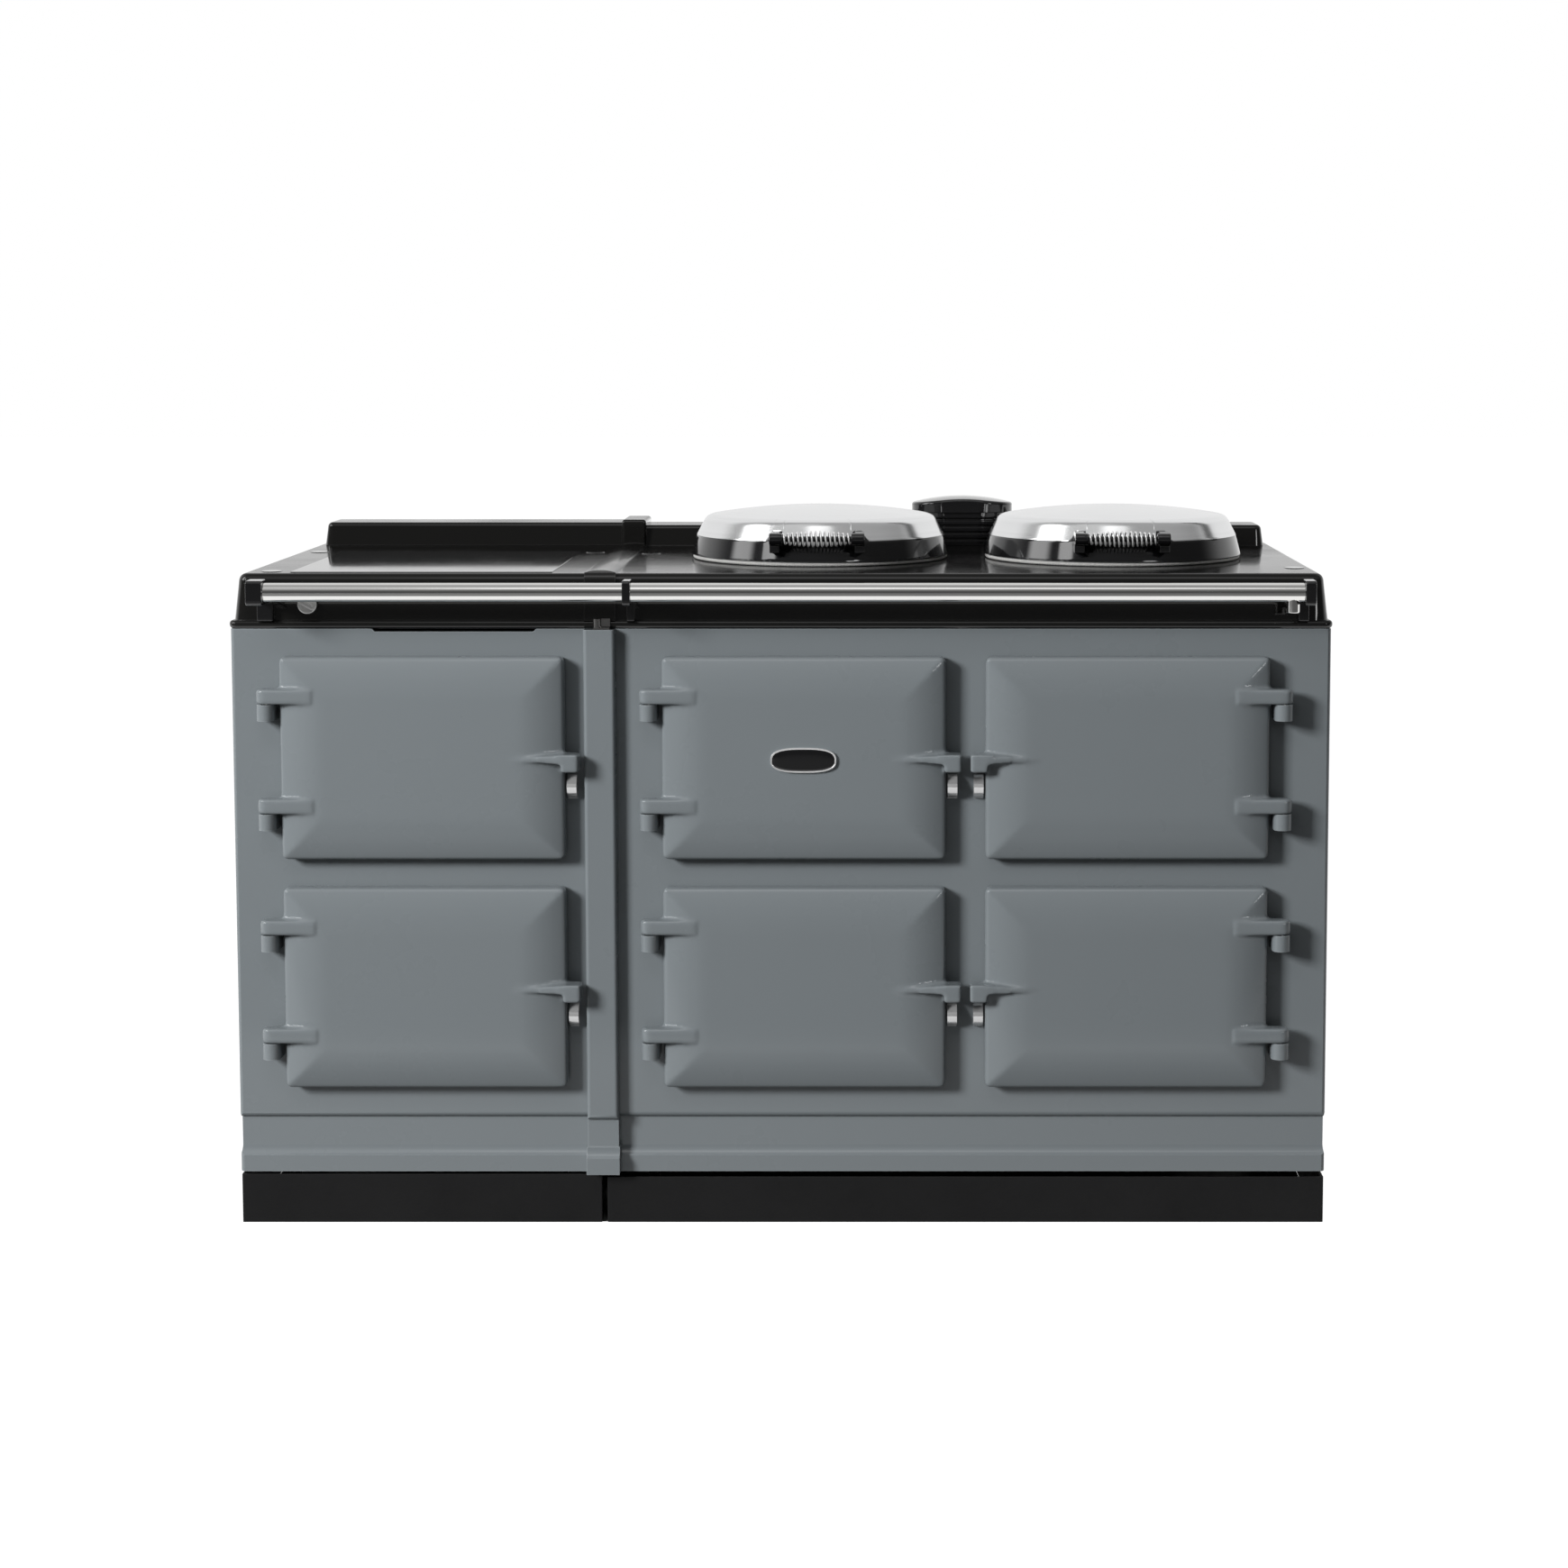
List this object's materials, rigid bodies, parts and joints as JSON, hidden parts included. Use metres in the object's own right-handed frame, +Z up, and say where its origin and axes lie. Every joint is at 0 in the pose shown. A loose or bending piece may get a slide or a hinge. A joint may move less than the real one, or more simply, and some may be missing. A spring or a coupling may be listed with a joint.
{
  "type": "range cooker",
  "caption": "Enamelled cast-iron range cooker: hinged oven doors, a glass hob, hotplates under sprung-handled domed lids and a hand rail.",
  "frame": {"origin": "on the floor, under the middle of the whole cooker's width and depth", "axes": "+X to the right seen from the front, +Z up; the doors and rail face -Y"},
  "size_m": [1.477, 0.698, 0.9604],
  "materials": {
    "enamel": "glossy",
    "plinth_black": "matte",
    "galvanised": "satin",
    "liner_steel": "satin",
    "oven_black": "satin",
    "heating": "matte",
    "cast_iron": "satin",
    "wool": "matte",
    "rope": "matte",
    "chrome": "polished",
    "black_enamel": "glossy",
    "vent_black": "glossy",
    "glass": "polished",
    "brushed_steel": "brushed",
    "knob_plastic": "satin",
    "plaque": "polished"
  },
  "bodies": {
    "body": {"front_panel_left": "enamel", "front_panel_right": "enamel", "side_panels": "enamel", "joint_pilaster": "enamel", "top_plate_left": "black_enamel", "top_plate_right": "black_enamel", "joint_strip": "black_enamel", "upstand_left": "black_enamel", "upstand_right": "black_enamel", "plinths": "plinth_black", "levelling_feet": "plinth_black", "base_plates": "plinth_black", "back_panels": "galvanised", "grid_shelves": "liner_steel", "left_upper_oven": "oven_black", "left_lower_oven": "oven_black", "centre_lower_oven": "oven_black", "right_upper_oven": "oven_black", "right_lower_oven": "oven_black", "control_compartment": "oven_black", "heating_elements": "heating", "hotplates": "cast_iron", "insulation": "wool", "lid_seals": "rope", "door_catches": "chrome", "rail_brackets": "black_enamel", "vent_body": "vent_black", "vent_cap": "vent_black", "hob_glass": "glass", "plate_plugs": "black_enamel", "rails": "brushed_steel", "hinge_pins": "brushed_steel", "joint_clip": "brushed_steel"},
    "left_upper_door": {"left_upper_door": "enamel", "left_upper_door_liner": "liner_steel"},
    "left_lower_door": {"left_lower_door": "enamel", "left_lower_door_liner": "liner_steel"},
    "centre_upper_door": {"centre_upper_door": "enamel", "centre_upper_door_liner": "liner_steel", "door_plaque": "plaque"},
    "centre_lower_door": {"centre_lower_door": "enamel", "centre_lower_door_liner": "liner_steel"},
    "right_upper_door": {"right_upper_door": "enamel", "right_upper_door_liner": "liner_steel"},
    "right_lower_door": {"right_lower_door": "enamel", "right_lower_door_liner": "liner_steel"},
    "left_lid": {"left_lid_dome": "chrome", "left_lid_base": "black_enamel", "left_lid_liner": "liner_steel", "left_lid_handle": "black_enamel", "left_lid_coil": "chrome"},
    "right_lid": {"right_lid_dome": "chrome", "right_lid_base": "black_enamel", "right_lid_liner": "liner_steel", "right_lid_handle": "black_enamel", "right_lid_coil": "chrome"},
    "hob_switch": {"hob_switch": "brushed_steel"},
    "control_knob_1": {"control_knob_1": "knob_plastic"},
    "control_knob_2": {"control_knob_2": "knob_plastic"},
    "control_knob_3": {"control_knob_3": "knob_plastic"}
  },
  "joints": [
    {"name": "left_upper_door_hinge", "type": "hinge", "parent": "body", "child": "left_upper_door", "pos_m": [-0.685, -0.297, 0.64], "axis": [0, 0, -1], "range_deg": [0, 110]},
    {"name": "left_lower_door_hinge", "type": "hinge", "parent": "body", "child": "left_lower_door", "pos_m": [-0.685, -0.297, 0.329], "axis": [0, 0, -1], "range_deg": [0, 110]},
    {"name": "centre_upper_door_hinge", "type": "hinge", "parent": "body", "child": "centre_upper_door", "pos_m": [-0.176, -0.297, 0.64], "axis": [0, 0, -1], "range_deg": [0, 110]},
    {"name": "centre_lower_door_hinge", "type": "hinge", "parent": "body", "child": "centre_lower_door", "pos_m": [-0.176, -0.297, 0.329], "axis": [0, 0, -1], "range_deg": [0, 110]},
    {"name": "right_upper_door_hinge", "type": "hinge", "parent": "body", "child": "right_upper_door", "pos_m": [0.67, -0.297, 0.64], "axis": [0, 0, 1], "range_deg": [0, 110]},
    {"name": "right_lower_door_hinge", "type": "hinge", "parent": "body", "child": "right_lower_door", "pos_m": [0.67, -0.297, 0.329], "axis": [0, 0, 1], "range_deg": [0, 110]},
    {"name": "left_lid_hinge", "type": "hinge", "parent": "body", "child": "left_lid", "pos_m": [0.0455, 0.2305, 0.907], "axis": [-1, 0, 0], "range_deg": [0, 90]},
    {"name": "right_lid_hinge", "type": "hinge", "parent": "body", "child": "right_lid", "pos_m": [0.4645, 0.2305, 0.907], "axis": [-1, 0, 0], "range_deg": [0, 90]},
    {"name": "hob_switch_turn", "type": "hinge", "parent": "body", "child": "hob_switch", "pos_m": [-0.632, -0.2725, 0.845], "axis": [0, 1, 0], "range_deg": [0, 300]},
    {"name": "control_knob_1_turn", "type": "hinge", "parent": "body", "child": "control_knob_1", "pos_m": [-0.061, -0.1995, 0.64], "axis": [0, 1, 0], "range_deg": [0, 270]},
    {"name": "control_knob_2_turn", "type": "hinge", "parent": "body", "child": "control_knob_2", "pos_m": [0.031, -0.1995, 0.64], "axis": [0, 1, 0], "range_deg": [0, 270]},
    {"name": "control_knob_3_turn", "type": "hinge", "parent": "body", "child": "control_knob_3", "pos_m": [0.123, -0.1995, 0.64], "axis": [0, 1, 0], "range_deg": [0, 270]}
  ]
}
